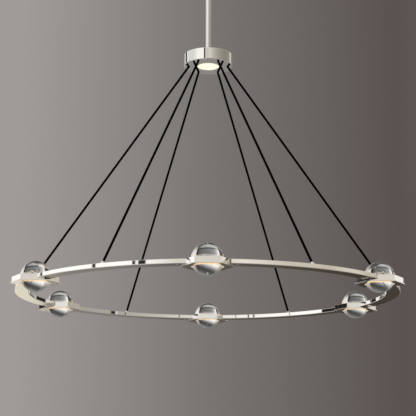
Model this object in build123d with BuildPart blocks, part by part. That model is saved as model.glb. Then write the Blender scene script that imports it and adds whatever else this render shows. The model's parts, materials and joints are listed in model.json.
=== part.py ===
import math
import os

from build123d import *

os.makedirs("parts", exist_ok=True)

# All sizes in millimetres. The origin is the centre of the ceiling face, and the object hangs down -Z.

# Fits
slip = 0.3
snug = 0.1

# Ring: six crystals in collars, joined by six curved bars
count = 6
pitch = 360.0 / count
first_ball = -90.0
first_cord = first_ball + pitch / 2
ring_r = 588.0
ball_r = 46.0
bar_w = 44.0
bar_h = 12.7
bar_wall = 2.0
bar_drop = 1.5
bar_edge = 0.5

# Hexagonal collar around each crystal, with its trim ring, light and gasket
collar_sides = 6
collar_turn = 30.0
collar_flat = 61.0
collar_point = collar_flat / math.cos(math.pi / collar_sides)
collar_wall = 5.0
collar_bore = collar_flat - collar_wall
collar_roof = 2.0
collar_h = 16.3
bore_gap = 0.6
collar_edge = 0.5
trim_over = 3.6
trim_h = 3.2
trim_lip = 44.4
trim_edge = 0.8
gasket_r = 1.5
diffuser_gap = 0.9
diffuser_t = 2.0
led_t = 1.6
led_h = 8.0
spigot_l = 34.0
lead_r = 1.5
lead_gap = 7.0
lead_tail = 4.8
lead_hole_r = lead_r + slip

# Screws: under the bars into the spigots, and under the trim rings into the collars
bar_screw_r = 2.0
bar_screw_head_r = 3.8
bar_screw_at = 12.0
trim_screw_r = 1.5
trim_screw_head_r = 2.8
trim_screw_head_h = 1.6
trim_screw_l = 7.0
trim_screw_at = (collar_bore + collar_point) / 2
trim_screw_turns = (30.0, 150.0, 210.0, 330.0)
trim_drive_r = 1.1
trim_drive_h = 1.0
bar_drive_r = 1.5
bar_drive_h = 1.2
screw_end_gap = 0.5

# Cords with a ferrule on each bar and a socket in the hub
cord_r = 3.7
cord_hub_r = 64.7
sleeve_r = 5.8
sleeve_l = 11.0
sleeve_blind = 3.5
foot_r = 7.2
foot_h = 2.5
anchor_r = 3.0
nut_flat = 10.0
nut_h = 4.0
stud_tail = 1.0
socket_r = 6.4
socket_l = 20.0
cord_in_socket = 15.0

# Hub with its downlight
hub_r = 80.5
hub_h = 39.0
hub_wall = 2.2
hub_edge = 1.2
hub_roof = 3.0
plate_h = 3.0
lens_r = 35.4
lens_lip = 3.6
lens_lip_h = 1.5
can_r = 41.5
can_h = 18.0
can_wall = 2.0
can_edge = 1.0
board_r = 36.0
board_h = 1.6
chips = 9
chip_at = 22.32
chip_l = 3.0
chip_h = 0.8
post_r = 4.0
post_at = 66.0
posts = 3
hub_screw_r = 1.5
hub_screw_head_r = 3.0
hub_screw_l = 12.0
hub_drive_r = 1.3
hub_drive_h = 1.2

# Stem and hang-straight swivel
stem_r = 9.0
stem_wall = 1.6
stem_l = 305.0
stem_plug = 9.0
stem_edge = 0.6
nipple_l = 8.0
hub_nut_r = 9.0
hub_nut_h = 5.0
neck_r = 5.0
wire_r = 3.0
cable_tail = 4.0
neck_gap = 20.0
swivel_r = 15.0
swivel_top = 10.0
swivel_up = 13.0
seat_r = 20.0
seat_h = 7.0
seat_bore = 11.5
spigot_seat_h = 2.5

# Canopy and ceiling bracket
canopy_r = 76.0
canopy_h = 45.0
canopy_wall = 2.0
canopy_floor = 3.0
canopy_hole = 13.5
canopy_edge = 7.0
bracket_l = 128.0
bracket_w = 25.0
bracket_h = 3.0
bracket_corner = 5.0
slot_at = 39.7
slot_span = 9.5
slot_r = 2.6
stud_r = 2.5
stud_at = 57.0
stud_nut_r = 4.6
stud_nut_h = 3.0
cap_r = 6.5
cap_h = 9.0
cap_edge = 4.0
cap_thread = 5.4
driver_l = 76.0
driver_w = 32.0
driver_h = 22.0
driver_at = 40.0
driver_corner = 3.0
driver_edge = 1.0
block_l = 38.0
block_w = 16.0
block_h = 15.0
block_at = -38.0
way_x = 11.0
way_y = 7.0
way_r = 2.0
way_h = 4.0
earth_at = 18.0
earth_head_r = 4.2
earth_head_h = 2.6

# Heights worked out from the sizes above
swivel_z = -(canopy_h - swivel_up)
stem_top = swivel_z - neck_gap
hub_top = stem_top - stem_l
plate_z = hub_top - hub_h
drop = 759.0
ball_z = plate_z - drop
bar_top = ball_z - bar_drop
bar_mid = bar_top - bar_h / 2

# Cord route in the plane of one cord: from the bar top up and in to the hub plate
cord_dx = cord_hub_r - ring_r
cord_dz = plate_z - bar_top
cord_run = math.hypot(cord_dx, cord_dz)
cord_dir = Vector(cord_dx / cord_run, 0, cord_dz / cord_run)
cord_low = Vector(ring_r, 0, bar_top)
cord_high = Vector(cord_hub_r, 0, plate_z)


def save(piece, name):
    piece.part.label = name
    export_step(piece.part, f"parts/{name}.step")


def on_cord(base, along):
    # a plane square to the cord, at a distance along it
    return Plane(origin=base + cord_dir * along, x_dir=(0, 1, 0), z_dir=cord_dir)


def at_balls():
    return PolarLocations(ring_r, count, start_angle=first_ball)


def at_cords():
    return PolarLocations(0, count, start_angle=first_cord)


def save_each(unit, name, spots):
    # one node per place round the ring
    for number, spot in enumerate(spots, 1):
        with BuildPart() as piece:
            with Locations(spot):
                add(unit.part)
        save(piece, f"{name}_{number}")


def save_all(unit, name, spots):
    # identical small pieces share one node
    with BuildPart() as piece:
        with Locations(*spots):
            add(unit.part)
    save(piece, name)


ball_spots = [Location((0, 0, ball_z)) * spot for spot in at_balls().locations]
cord_spots = at_cords().locations

# Crystal ball, polished with no flat
with BuildPart() as ball:
    Sphere(ball_r)
save_each(ball, "crystal", ball_spots)

# Collar: a hexagonal cup, open below, with a spigot for each bar
roof_z = -bar_drop
under_z = roof_z - collar_h
bar_axis_z = roof_z - bar_h / 2
ring_axis = Axis((-ring_r, 0, 0), (0, 0, 1))
spigot_turn = math.degrees((collar_point + spigot_l) / ring_r)
screw_turn = math.degrees((collar_point + bar_screw_at) / ring_r)
screw_x = ring_r * (math.cos(math.radians(screw_turn)) - 1)
screw_y = ring_r * math.sin(math.radians(screw_turn))
trim_spots = [
    (trim_screw_at * math.cos(math.radians(a)), trim_screw_at * math.sin(math.radians(a)))
    for a in trim_screw_turns
]
with BuildPart() as collar:
    with BuildSketch(Plane.XY.offset(under_z)):
        RegularPolygon(collar_flat, collar_sides, major_radius=False, rotation=collar_turn)
    extrude(amount=collar_h)
    chamfer(collar.faces().sort_by(Axis.Z)[-1].edges(), collar_edge)
    with BuildSketch(Plane.XZ):
        with Locations((0, bar_axis_z)):
            Rectangle(bar_w - 2 * (bar_wall + slip), bar_h - 2 * (bar_wall + slip))
    revolve(axis=ring_axis, revolution_arc=spigot_turn)
    mirror(about=Plane.XZ)
    with BuildSketch(Plane.XY.offset(under_z)):
        Circle(collar_bore)
    extrude(amount=collar_h - collar_roof, mode=Mode.SUBTRACT)
    with BuildSketch(Plane.XY.offset(under_z)):
        Circle(ball_r + bore_gap)
    extrude(amount=collar_h, mode=Mode.SUBTRACT)
    for turn in (spigot_turn, -spigot_turn):
        with BuildSketch(Plane.XZ):
            with Locations((0, bar_axis_z)):
                Circle(lead_hole_r)
        revolve(axis=ring_axis, revolution_arc=turn, mode=Mode.SUBTRACT)
    with BuildSketch(Plane.XY.offset(roof_z - bar_h)):
        with Locations((screw_x, screw_y), (screw_x, -screw_y)):
            Circle(bar_screw_r + snug)
    extrude(amount=bar_h / 2 - lead_hole_r, mode=Mode.SUBTRACT)
    with BuildSketch(Plane.XY.offset(under_z)):
        with Locations(*trim_spots):
            Circle(trim_screw_r + snug)
    extrude(amount=trim_screw_l, mode=Mode.SUBTRACT)
save_each(collar, "collar", ball_spots)

# Trim ring under the collar: its lip stands out all round and holds the crystal up
with BuildPart() as trim:
    with BuildSketch(Plane.XY.offset(under_z - trim_h)):
        RegularPolygon(collar_flat + trim_over, collar_sides, major_radius=False, rotation=collar_turn)
    extrude(amount=trim_h)
    rims = trim.faces().sort_by(Axis.Z)[0].edges() + trim.faces().sort_by(Axis.Z)[-1].edges()
    chamfer(rims, trim_edge)
    with BuildSketch(Plane.XY.offset(under_z - trim_h)):
        Circle(trim_lip)
    extrude(amount=trim_h, mode=Mode.SUBTRACT)
    lip = trim.edges().filter_by(GeomType.CIRCLE).sort_by(Axis.Z)[:1]
    chamfer(lip, trim_edge)
    with BuildSketch(Plane.XY.offset(under_z - trim_h)):
        with Locations(*trim_spots):
            Circle(trim_screw_r + snug)
    extrude(amount=trim_h, mode=Mode.SUBTRACT)
    with BuildSketch(Plane.XY.offset(under_z - trim_h)):
        with Locations(*trim_spots):
            Circle(trim_screw_head_r + slip)
    extrude(amount=trim_screw_head_h, mode=Mode.SUBTRACT)
save_each(trim, "trim_ring", ball_spots)

# Screws that hold one trim ring
with BuildPart() as trim_screw:
    with BuildSketch(Plane.XY.offset(under_z - trim_h)):
        with Locations(*trim_spots):
            Circle(trim_screw_head_r)
    extrude(amount=trim_screw_head_h)
    with BuildSketch(Plane.XY.offset(under_z - trim_h)):
        with Locations(*trim_spots):
            Circle(trim_screw_r)
    extrude(amount=trim_h + trim_screw_l - screw_end_gap)
    with BuildSketch(Plane.XY.offset(under_z - trim_h)):
        with Locations(*trim_spots):
            RegularPolygon(trim_drive_r, 6)
    extrude(amount=trim_drive_h, mode=Mode.SUBTRACT)
save_all(trim_screw, "trim_screws", ball_spots)

# Frosted light ring between roof and trim ring, just outside the crystal
with BuildPart() as light_ring:
    with BuildSketch(Plane.XY.offset(under_z)):
        Circle(ball_r + diffuser_gap + diffuser_t)
        Circle(ball_r + diffuser_gap, mode=Mode.SUBTRACT)
    extrude(amount=collar_h - collar_roof)
save_all(light_ring, "light_rings", ball_spots)

# Light strip on the inside of the collar wall, notched where the lead comes in
with BuildPart() as led:
    with BuildSketch(Plane.XY.offset(bar_axis_z - led_h / 2)):
        Circle(collar_bore)
        Circle(collar_bore - led_t, mode=Mode.SUBTRACT)
    extrude(amount=led_h)
    for turn in (spigot_turn, -spigot_turn):
        with BuildSketch(Plane.XZ):
            with Locations((0, bar_axis_z)):
                Circle(lead_hole_r)
        revolve(axis=ring_axis, revolution_arc=turn, mode=Mode.SUBTRACT)
save_all(led, "led_strips", ball_spots)

# Soft gasket that the crystal rests on, on the lip of the trim ring
touch = ball_r + gasket_r + slip
gasket_z = under_z + gasket_r
gasket_at = math.sqrt(touch**2 - gasket_z**2)
with BuildPart() as gasket:
    with BuildSketch(Plane.XZ):
        with Locations((gasket_at, gasket_z)):
            RegularPolygon(gasket_r, 6, rotation=30)
    revolve(axis=Axis.Z)
save_all(gasket, "gaskets", ball_spots)

# Curved bar: a rectangular tube, coped at both ends to fit the collars
half = pitch / 2
end_x = ring_r * math.cos(math.radians(half))
end_y = ring_r * math.sin(math.radians(half))
screw_spots = [
    (ring_r * math.cos(math.radians(a)), ring_r * math.sin(math.radians(a)))
    for a in (screw_turn - half, half - screw_turn)
]
with BuildPart() as bar:
    with BuildSketch(Plane.XZ.rotated((0, 0, -half))) as tube:
        with Locations((ring_r, bar_mid)):
            Rectangle(bar_w, bar_h)
        chamfer(tube.vertices(), bar_edge)
        with Locations((ring_r, bar_mid)):
            Rectangle(bar_w - 2 * bar_wall, bar_h - 2 * bar_wall, mode=Mode.SUBTRACT)
    revolve(axis=Axis.Z, revolution_arc=pitch)
    with BuildSketch(Plane.XY.offset(bar_mid - bar_h)):
        with Locations(Location((end_x, end_y, 0), (0, 0, half)), Location((end_x, -end_y, 0), (0, 0, -half))):
            RegularPolygon(collar_flat + snug, collar_sides, major_radius=False, rotation=collar_turn)
    extrude(amount=2 * bar_h, mode=Mode.SUBTRACT)
    with BuildSketch(Plane.XY.offset(bar_top)):
        with Locations((ring_r, 0)):
            Circle(anchor_r + snug)
    extrude(amount=-bar_wall, mode=Mode.SUBTRACT)
    with BuildSketch(Plane.XY.offset(bar_top - bar_h)):
        with Locations(*screw_spots):
            Circle(bar_screw_head_r + snug)
    extrude(amount=bar_wall, mode=Mode.SUBTRACT)
save_each(bar, "bar", cord_spots)

# Screws under the bars, two to a bar
with BuildPart() as bar_screw:
    with BuildSketch(Plane.XY.offset(bar_top - bar_h)):
        with Locations(*screw_spots):
            Circle(bar_screw_head_r)
    extrude(amount=bar_wall + slip)
    with BuildSketch(Plane.XY.offset(bar_top - bar_h)):
        with Locations(*screw_spots):
            Circle(bar_screw_r)
    extrude(amount=bar_h / 2 - lead_hole_r - snug)
    with BuildSketch(Plane.XY.offset(bar_top - bar_h)):
        with Locations(*screw_spots):
            RegularPolygon(bar_drive_r, 6)
    extrude(amount=bar_drive_h, mode=Mode.SUBTRACT)
save_all(bar_screw, "bar_screws", cord_spots)

# Cord ferrule: a leaning sleeve on a round foot, with a stud through the bar top
with BuildPart() as ferrule:
    with BuildSketch(on_cord(cord_low, 0)):
        Circle(sleeve_r)
    extrude(amount=sleeve_l, both=True)
    split(bisect_by=Plane.XY.offset(bar_top), keep=Keep.TOP)
    with Locations((ring_r, 0, bar_top)):
        Cylinder(foot_r, foot_h, align=(Align.CENTER, Align.CENTER, Align.MIN))
    with BuildSketch(on_cord(cord_low, sleeve_blind)):
        Circle(cord_r + snug)
    extrude(amount=sleeve_l, mode=Mode.SUBTRACT)
    with BuildSketch(Plane.XY.offset(bar_top)):
        with Locations((ring_r, 0)):
            Circle(anchor_r)
    extrude(amount=-(bar_wall + nut_h + stud_tail))
save_all(ferrule, "cord_ferrules", cord_spots)

# Nut on each ferrule stud, inside the bar
with BuildPart() as anchor_nut:
    with BuildSketch(Plane.XY.offset(bar_top - bar_wall)):
        with Locations((ring_r, 0)):
            RegularPolygon(nut_flat / 2, 6, major_radius=False)
            Circle(anchor_r + snug, mode=Mode.SUBTRACT)
    extrude(amount=-nut_h)
save_all(anchor_nut, "anchor_nuts", cord_spots)

# Lead from each ferrule along the inside of the bar to the light strip
lead_from = math.degrees(lead_gap / ring_r)
lead_to = half - math.degrees((collar_bore - lead_tail) / ring_r)
with BuildPart() as lead:
    with BuildSketch(Plane.XZ):
        with Locations((ring_r, bar_mid)):
            RegularPolygon(lead_r, 6)
    revolve(axis=Axis.Z, revolution_arc=lead_to - lead_from)
lead_spots = [spot * Rotation(0, 0, -lead_to) for spot in cord_spots]
save_all(lead, "led_leads", lead_spots)

# Cord: a straight, taut run from the ferrule to the socket in the hub
with BuildPart() as cord:
    with BuildSketch(on_cord(cord_low, sleeve_blind)):
        Circle(cord_r)
    extrude(amount=cord_run - sleeve_blind + cord_in_socket)
save_each(cord, "cord", cord_spots)

# Hub cap: a shallow drum, open below
with BuildPart() as hub_cap:
    with BuildSketch(Plane.XY.offset(plate_z)):
        Circle(hub_r)
    extrude(amount=hub_h)
    fillet(hub_cap.faces().sort_by(Axis.Z)[-1].edges(), hub_edge)
    with BuildSketch(Plane.XY.offset(plate_z)):
        Circle(hub_r - hub_wall)
    extrude(amount=hub_h - hub_roof, mode=Mode.SUBTRACT)
    with BuildSketch(Plane.XY.offset(hub_top - hub_roof)):
        Circle(neck_r + snug)
    extrude(amount=hub_roof, mode=Mode.SUBTRACT)
save(hub_cap, "hub_cap")

# Hub plate: polished underside, with a leaning hole for each cord
plate_top = plate_z + plate_h
with BuildPart() as cord_hole:
    with BuildSketch(on_cord(cord_high, 0)):
        Circle(cord_r + snug)
    extrude(amount=socket_l, both=True)

with BuildPart() as plate:
    with BuildSketch(Plane.XY.offset(plate_z)):
        Circle(hub_r - hub_wall - snug)
        Circle(lens_r + slip, mode=Mode.SUBTRACT)
        with PolarLocations(post_at, posts, start_angle=first_ball):
            Circle(hub_screw_head_r + snug, mode=Mode.SUBTRACT)
    extrude(amount=plate_h)
    with Locations(*cord_spots):
        add(cord_hole.part, mode=Mode.SUBTRACT)
save(plate, "hub_plate")

# Leaning sockets on the plate that grip the cord ends
with BuildPart() as socket:
    with BuildSketch(on_cord(cord_high, 0)):
        Circle(socket_r)
        Circle(cord_r + snug, mode=Mode.SUBTRACT)
    extrude(amount=socket_l, both=True)
    split(bisect_by=Plane.XY.offset(plate_top), keep=Keep.TOP)
save_all(socket, "cord_sockets", cord_spots)

# Posts from the cap roof to the plate, and the screws into them
post_top = hub_top - hub_roof
with BuildPart() as hub_posts:
    with BuildSketch(Plane.XY.offset(plate_top)):
        with PolarLocations(post_at, posts, start_angle=first_ball):
            Circle(post_r)
    extrude(amount=post_top - plate_top)
    with BuildSketch(Plane.XY.offset(plate_top)):
        with PolarLocations(post_at, posts, start_angle=first_ball):
            Circle(hub_screw_r + snug)
    extrude(amount=hub_screw_l, mode=Mode.SUBTRACT)
save(hub_posts, "hub_posts")

with BuildPart() as hub_screws:
    with BuildSketch(Plane.XY.offset(plate_z)):
        with PolarLocations(post_at, posts, start_angle=first_ball):
            Circle(hub_screw_head_r)
    extrude(amount=plate_h)
    with BuildSketch(Plane.XY.offset(plate_z)):
        with PolarLocations(post_at, posts, start_angle=first_ball):
            Circle(hub_screw_r)
    extrude(amount=plate_h + hub_screw_l - screw_end_gap)
    with BuildSketch(Plane.XY.offset(plate_z)):
        with PolarLocations(post_at, posts, start_angle=first_ball):
            RegularPolygon(hub_drive_r, 6)
    extrude(amount=hub_drive_h, mode=Mode.SUBTRACT)
save(hub_screws, "hub_screws")

# Downlight: a lens held on the plate by the lamp can, with its board under the can roof
with BuildPart() as lens:
    with BuildSketch(Plane.XY.offset(plate_z)):
        Circle(lens_r)
    extrude(amount=plate_h)
    with BuildSketch(Plane.XY.offset(plate_top)):
        Circle(lens_r + lens_lip)
    extrude(amount=lens_lip_h)
save(lens, "lamp_lens")

can_roof = plate_top + can_h
with BuildPart() as can:
    with BuildSketch(Plane.XZ):
        with BuildLine():
            Polyline(
                (lens_r + lens_lip + snug, plate_top),
                (can_r, plate_top),
                (can_r, can_roof),
                (0, can_roof),
                (0, can_roof - can_wall),
                (lens_r + lens_lip - can_wall, can_roof - can_wall),
                (lens_r + lens_lip - can_wall, plate_top + lens_lip_h),
                (lens_r + lens_lip + snug, plate_top + lens_lip_h),
                close=True,
            )
        make_face()
    revolve(axis=Axis.Z)
    chamfer(can.faces().sort_by(Axis.Z)[-1].edges(), can_edge)
    with BuildSketch(Plane.XY.offset(can_roof - can_wall)):
        Circle(wire_r)
    extrude(amount=can_wall, mode=Mode.SUBTRACT)
save(can, "lamp_can")

with BuildPart() as board:
    with BuildSketch(Plane.XY.offset(can_roof - can_wall - board_h)):
        Circle(board_r)
        Circle(wire_r, mode=Mode.SUBTRACT)
    extrude(amount=board_h)
    with BuildSketch(Plane.XY.offset(can_roof - can_wall - board_h)):
        with PolarLocations(chip_at, chips):
            Rectangle(chip_l, chip_l)
    extrude(amount=-chip_h)
save(board, "lamp_board")

# Stem: a tube with a threaded plug in each end
with BuildPart() as stem:
    with BuildSketch(Plane.XY.offset(hub_top)):
        Circle(stem_r)
        Circle(neck_r + snug, mode=Mode.SUBTRACT)
    extrude(amount=stem_l)
    with BuildSketch(Plane.XY.offset(hub_top + stem_plug)):
        Circle(stem_r - stem_wall)
    extrude(amount=stem_l - 2 * stem_plug, mode=Mode.SUBTRACT)
    ends = stem.edges().filter_by(GeomType.CIRCLE).filter_by(lambda e: e.radius > stem_r - snug)
    chamfer(ends, stem_edge)
save(stem, "stem")

# Nipple through the hub roof, with the nut that holds the hub on the stem
nipple_end = hub_top - hub_roof - nipple_l
with BuildPart() as nipple:
    with BuildSketch(Plane.XY.offset(nipple_end)):
        Circle(neck_r)
        Circle(wire_r, mode=Mode.SUBTRACT)
    extrude(amount=hub_top + stem_plug - nipple_end)
save(nipple, "hub_nipple")

with BuildPart() as hub_nut:
    with BuildSketch(Plane.XY.offset(hub_top - hub_roof)):
        RegularPolygon(hub_nut_r, 6)
        Circle(neck_r + snug, mode=Mode.SUBTRACT)
    extrude(amount=-hub_nut_h)
save(hub_nut, "hub_nut")

# Supply cable up the middle of the stem, from the hub to above the swivel ball
cable_top = swivel_z + swivel_top + cable_tail
with BuildPart() as cable:
    with BuildSketch(Plane.XY.offset(nipple_end - cable_tail)):
        Circle(wire_r - snug)
    extrude(amount=cable_top - nipple_end + cable_tail)
save(cable, "stem_cable")

# Hang-straight ball on a hollow neck, which screws into the stem
with BuildPart() as swivel:
    with Locations((0, 0, swivel_z)):
        Sphere(swivel_r)
    split(bisect_by=Plane.XY.offset(swivel_z + swivel_top), keep=Keep.BOTTOM)
    with BuildSketch(Plane.XY.offset(stem_top - stem_plug)):
        Circle(neck_r)
    extrude(amount=swivel_z - stem_top + stem_plug)
    with BuildSketch(Plane.XY.offset(stem_top - stem_plug)):
        Circle(wire_r)
    extrude(amount=canopy_h, mode=Mode.SUBTRACT)
save(swivel, "swivel_ball")

# Seat ring: turns on the canopy floor and cups the ball
floor_z = -canopy_h + canopy_floor
with BuildPart() as seat:
    with BuildSketch(Plane.XY.offset(floor_z)):
        Circle(seat_r)
    extrude(amount=seat_h)
    with BuildSketch(Plane.XY.offset(floor_z)):
        Circle(canopy_hole - slip)
    extrude(amount=-spigot_seat_h)
    with BuildSketch(Plane.XY.offset(floor_z - spigot_seat_h)):
        Circle(seat_bore)
    extrude(amount=seat_h + spigot_seat_h, mode=Mode.SUBTRACT)
    with Locations((0, 0, swivel_z)):
        Sphere(swivel_r + slip, mode=Mode.SUBTRACT)
save(seat, "swivel_seat")

# Canopy: a cup against the ceiling
with BuildPart() as canopy:
    with BuildSketch(Plane.XY.offset(-canopy_h)):
        Circle(canopy_r)
    extrude(amount=canopy_h)
    fillet(canopy.faces().sort_by(Axis.Z)[0].edges(), canopy_edge)
    with BuildSketch(Plane.XY.offset(floor_z)):
        Circle(canopy_r - canopy_wall)
    extrude(amount=-floor_z, mode=Mode.SUBTRACT)
    with BuildSketch(Plane.XY.offset(-canopy_h)):
        Circle(canopy_hole)
        with Locations((stud_at, 0), (-stud_at, 0)):
            Circle(stud_r + slip)
    extrude(amount=canopy_floor, mode=Mode.SUBTRACT)
save(canopy, "canopy")

# Ceiling bracket with slots for the ceiling box, and two studs for the canopy
with BuildPart() as bracket:
    with BuildSketch(Plane.XY.offset(-bracket_h)):
        RectangleRounded(bracket_l, bracket_w, bracket_corner)
        with Locations((slot_at, 0), (-slot_at, 0)):
            SlotCenterToCenter(slot_span, 2 * slot_r, mode=Mode.SUBTRACT)
        with Locations((stud_at, 0), (-stud_at, 0)):
            Circle(stud_r + snug, mode=Mode.SUBTRACT)
        with Locations((earth_at, 0)):
            Circle(trim_screw_r + snug, mode=Mode.SUBTRACT)
    extrude(amount=bracket_h)
save(bracket, "ceiling_bracket")

with BuildPart() as studs:
    with BuildSketch(Plane.XY.offset(-canopy_h - cap_thread)):
        with Locations((stud_at, 0), (-stud_at, 0)):
            Circle(stud_r)
    extrude(amount=canopy_h + cap_thread)
    with BuildSketch(Plane.XY.offset(-bracket_h)):
        with Locations((stud_at, 0), (-stud_at, 0)):
            RegularPolygon(stud_nut_r, 6)
    extrude(amount=-stud_nut_h)
save(studs, "canopy_studs")

with BuildPart() as caps:
    with Locations((stud_at, 0, -canopy_h), (-stud_at, 0, -canopy_h)):
        Cylinder(cap_r, cap_h, align=(Align.CENTER, Align.CENTER, Align.MAX))
    fillet(caps.edges().filter_by(GeomType.CIRCLE).group_by(Axis.Z)[0], cap_edge)
    with Locations((stud_at, 0, -canopy_h), (-stud_at, 0, -canopy_h)):
        Cylinder(
            stud_r + snug,
            cap_thread + snug,
            align=(Align.CENTER, Align.CENTER, Align.MAX),
            mode=Mode.SUBTRACT,
        )
save(caps, "cap_nuts")

with BuildPart() as earth:
    with BuildSketch(Plane.XY.offset(-bracket_h)):
        with Locations((earth_at, 0)):
            RegularPolygon(earth_head_r, 6)
    extrude(amount=-earth_head_h)
    with BuildSketch(Plane.XY.offset(-bracket_h)):
        with Locations((earth_at, 0)):
            Circle(trim_screw_r)
    extrude(amount=bracket_h)
save(earth, "earth_screw")

# Power supply and terminal block on the canopy floor
with BuildPart() as driver:
    with Locations((0, driver_at, floor_z)):
        Box(driver_l, driver_w, driver_h, align=(Align.CENTER, Align.CENTER, Align.MIN))
    fillet(driver.edges().filter_by(Axis.Z), driver_corner)
    chamfer(driver.faces().sort_by(Axis.Z)[-1].edges(), driver_edge)
save(driver, "led_driver")

with BuildPart() as block:
    with Locations((0, block_at, floor_z)):
        Box(block_l, block_w, block_h, align=(Align.CENTER, Align.CENTER, Align.MIN))
    with BuildSketch(Plane.XY.offset(floor_z + block_h)):
        with Locations((0, block_at)):
            with GridLocations(way_x, way_y, 3, 2):
                Circle(way_r)
    extrude(amount=-way_h, mode=Mode.SUBTRACT)
save(block, "terminal_block")

print("cord runs", round(cord_run, 1), "mm, straight and taut, no bends")
print("cord from", tuple(cord_low), "to", tuple(cord_high))
print("ball centres z", ball_z, "bar mid z", bar_mid, "plate z", plate_z, "hub top", hub_top)
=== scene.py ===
import json
import math
from functools import partial

import bpy
from mathutils import Matrix, Vector


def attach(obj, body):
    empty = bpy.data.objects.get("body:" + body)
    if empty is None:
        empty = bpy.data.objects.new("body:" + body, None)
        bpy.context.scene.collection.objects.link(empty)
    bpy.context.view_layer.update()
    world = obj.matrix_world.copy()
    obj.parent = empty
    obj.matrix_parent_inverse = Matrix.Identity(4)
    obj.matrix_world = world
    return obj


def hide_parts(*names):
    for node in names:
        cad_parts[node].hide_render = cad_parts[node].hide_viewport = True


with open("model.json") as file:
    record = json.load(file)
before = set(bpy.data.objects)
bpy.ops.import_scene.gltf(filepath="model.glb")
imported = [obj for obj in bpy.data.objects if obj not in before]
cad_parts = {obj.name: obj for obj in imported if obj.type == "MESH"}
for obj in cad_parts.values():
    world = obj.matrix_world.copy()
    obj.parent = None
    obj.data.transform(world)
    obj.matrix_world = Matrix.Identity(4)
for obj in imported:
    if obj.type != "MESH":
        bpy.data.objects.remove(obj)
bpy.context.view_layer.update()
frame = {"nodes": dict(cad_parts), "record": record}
nodes = frame["nodes"]
scene = bpy.context.scene
scene.view_settings.view_transform = "Standard"
print("frame loaded:", len(nodes), "nodes")

# Places that several pieces share, in metres
ring = {"count": 6, "radius": 0.588, "ballZ": -1.155, "ballStart": -90.0, "cordStart": -60.0,
        "barTop": -1.1565, "barHeight": 0.0127, "plateZ": -0.396, "hubTop": -0.357, "cordHubRadius": 0.0647}
cordLow = Vector((ring["radius"], 0, ring["barTop"]))
cordHigh = Vector((ring["cordHubRadius"], 0, ring["plateZ"]))
cordAim = (cordHigh - cordLow).normalized()
onAxis = 1e-7


# Shells: vertices, exact normals, faces and, where a pattern follows the surface, uv
def roundSection(corners, steps=4):
    # a closed outline of (radius, height, rounding) corners, counter-clockwise
    points, normals = [], []
    for i, (r, z, rounding) in enumerate(corners):
        here = Vector((r, z))
        incoming = (here - Vector(corners[i - 1][:2])).normalized()
        outgoing = (Vector(corners[(i + 1) % len(corners)][:2]) - here).normalized()
        if rounding == 0.0:
            # a corner on the axis keeps the normal of the end face
            edge = outgoing if abs(outgoing.y) < abs(incoming.y) else incoming
            points.append(here)
            normals.append(Vector((edge.y, -edge.x)))
            continue
        turn = math.atan2(incoming.x * outgoing.y - incoming.y * outgoing.x, incoming.dot(outgoing))
        side = 1.0 if turn > 0 else -1.0
        first = Vector((incoming.y, -incoming.x))
        start = here - incoming * rounding * math.tan(abs(turn) / 2)
        centre = start - first * rounding * side
        for k in range(steps + 1):
            normal = first.copy()
            normal.rotate(Matrix.Rotation(turn * k / steps, 2))
            points.append(centre + normal * rounding * side)
            normals.append(normal)
    return points, normals


def roundStations(segments):
    # each station: reach of a unit size, and the outward side
    turns = [2 * math.pi * i / segments for i in range(segments)]
    sides = [Vector((math.cos(a), math.sin(a))) for a in turns]
    return [(side, side) for side in sides]


def hexStations(faceSteps=12, cornerSteps=4):
    # flat faces towards the ring's axis and away from it, corners rounded
    stations = []
    for k in range(6):
        a = math.pi / 3 * k
        out, along = Vector((math.cos(a), math.sin(a))), Vector((-math.sin(a), math.cos(a)))
        reach = math.tan(math.pi / 6)
        for i in range(faceSteps + 1):
            stations.append((out + along * reach * (2 * i / faceSteps - 1), out))
        corner = out + along * reach
        for i in range(1, cornerSteps):
            turn = a + math.pi / 3 * i / cornerSteps
            stations.append((corner, Vector((math.cos(turn), math.sin(turn)))))
    return stations


def sweepSection(points, normals, stations, flatFrom=math.inf, rounding=0.0):
    # the section set at every station and joined up, with its points on the axis shared
    verts, vertNormals, index = [], [], {}
    for i, (reach, side) in enumerate(stations):
        for j, (p, n) in enumerate(zip(points, normals)):
            if i and p.x < onAxis:
                index[i, j] = index[0, j]
                continue
            index[i, j] = len(verts)
            if p.x < flatFrom:
                out = reach.normalized()
                spot = out * p.x
            else:
                out = side
                spot = reach * (p.x - rounding) + side * rounding
            verts.append(Vector((spot.x, spot.y, p.y)))
            vertNormals.append(Vector((n.x * out.x, n.x * out.y, n.y)))
    faces = []
    for i in range(len(stations)):
        for j in range(len(points)):
            k = (j + 1) % len(points)
            m = (i + 1) % len(stations)
            face = list(dict.fromkeys([index[i, j], index[m, j], index[m, k], index[i, k]]))
            if len(face) > 2:
                faces.append(face)
    return {"verts": verts, "normals": vertNormals, "faces": faces}


def revolve(corners, segments=96, steps=4):
    # a section with rounded corners turned about the axis
    points, normals = roundSection(corners, steps)
    return sweepSection(points, normals, roundStations(segments))


def rod(radius, low, high, lowEdge, highEdge, segments):
    # a round bar with rounded rims
    return revolve([(0, low, 0.0), (radius, low, lowEdge), (radius, high, highEdge), (0, high, 0.0)],
                   segments)


def hexPrism(corners, flatFrom, rounding, steps=4):
    # as revolve, but hexagonal from a radius on, measured to the flat faces
    points, normals = roundSection(corners, steps)
    return sweepSection(points, normals, hexStations(), flatFrom, rounding)


def polar(radius, angle, z):
    return Vector((radius * math.cos(angle), radius * math.sin(angle), z))


def moved(shell, matrix):
    turn = matrix.to_3x3()
    out = dict(shell)
    out["verts"] = [matrix @ v for v in shell["verts"]]
    out["normals"] = [(turn @ n).normalized() for n in shell["normals"]]
    return out


def alongAxis(origin, aim):
    # the matrix that stands a shell's own z along aim, at origin
    return Matrix.Translation(origin) @ Vector((0, 0, 1)).rotation_difference(aim).to_matrix().to_4x4()


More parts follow.
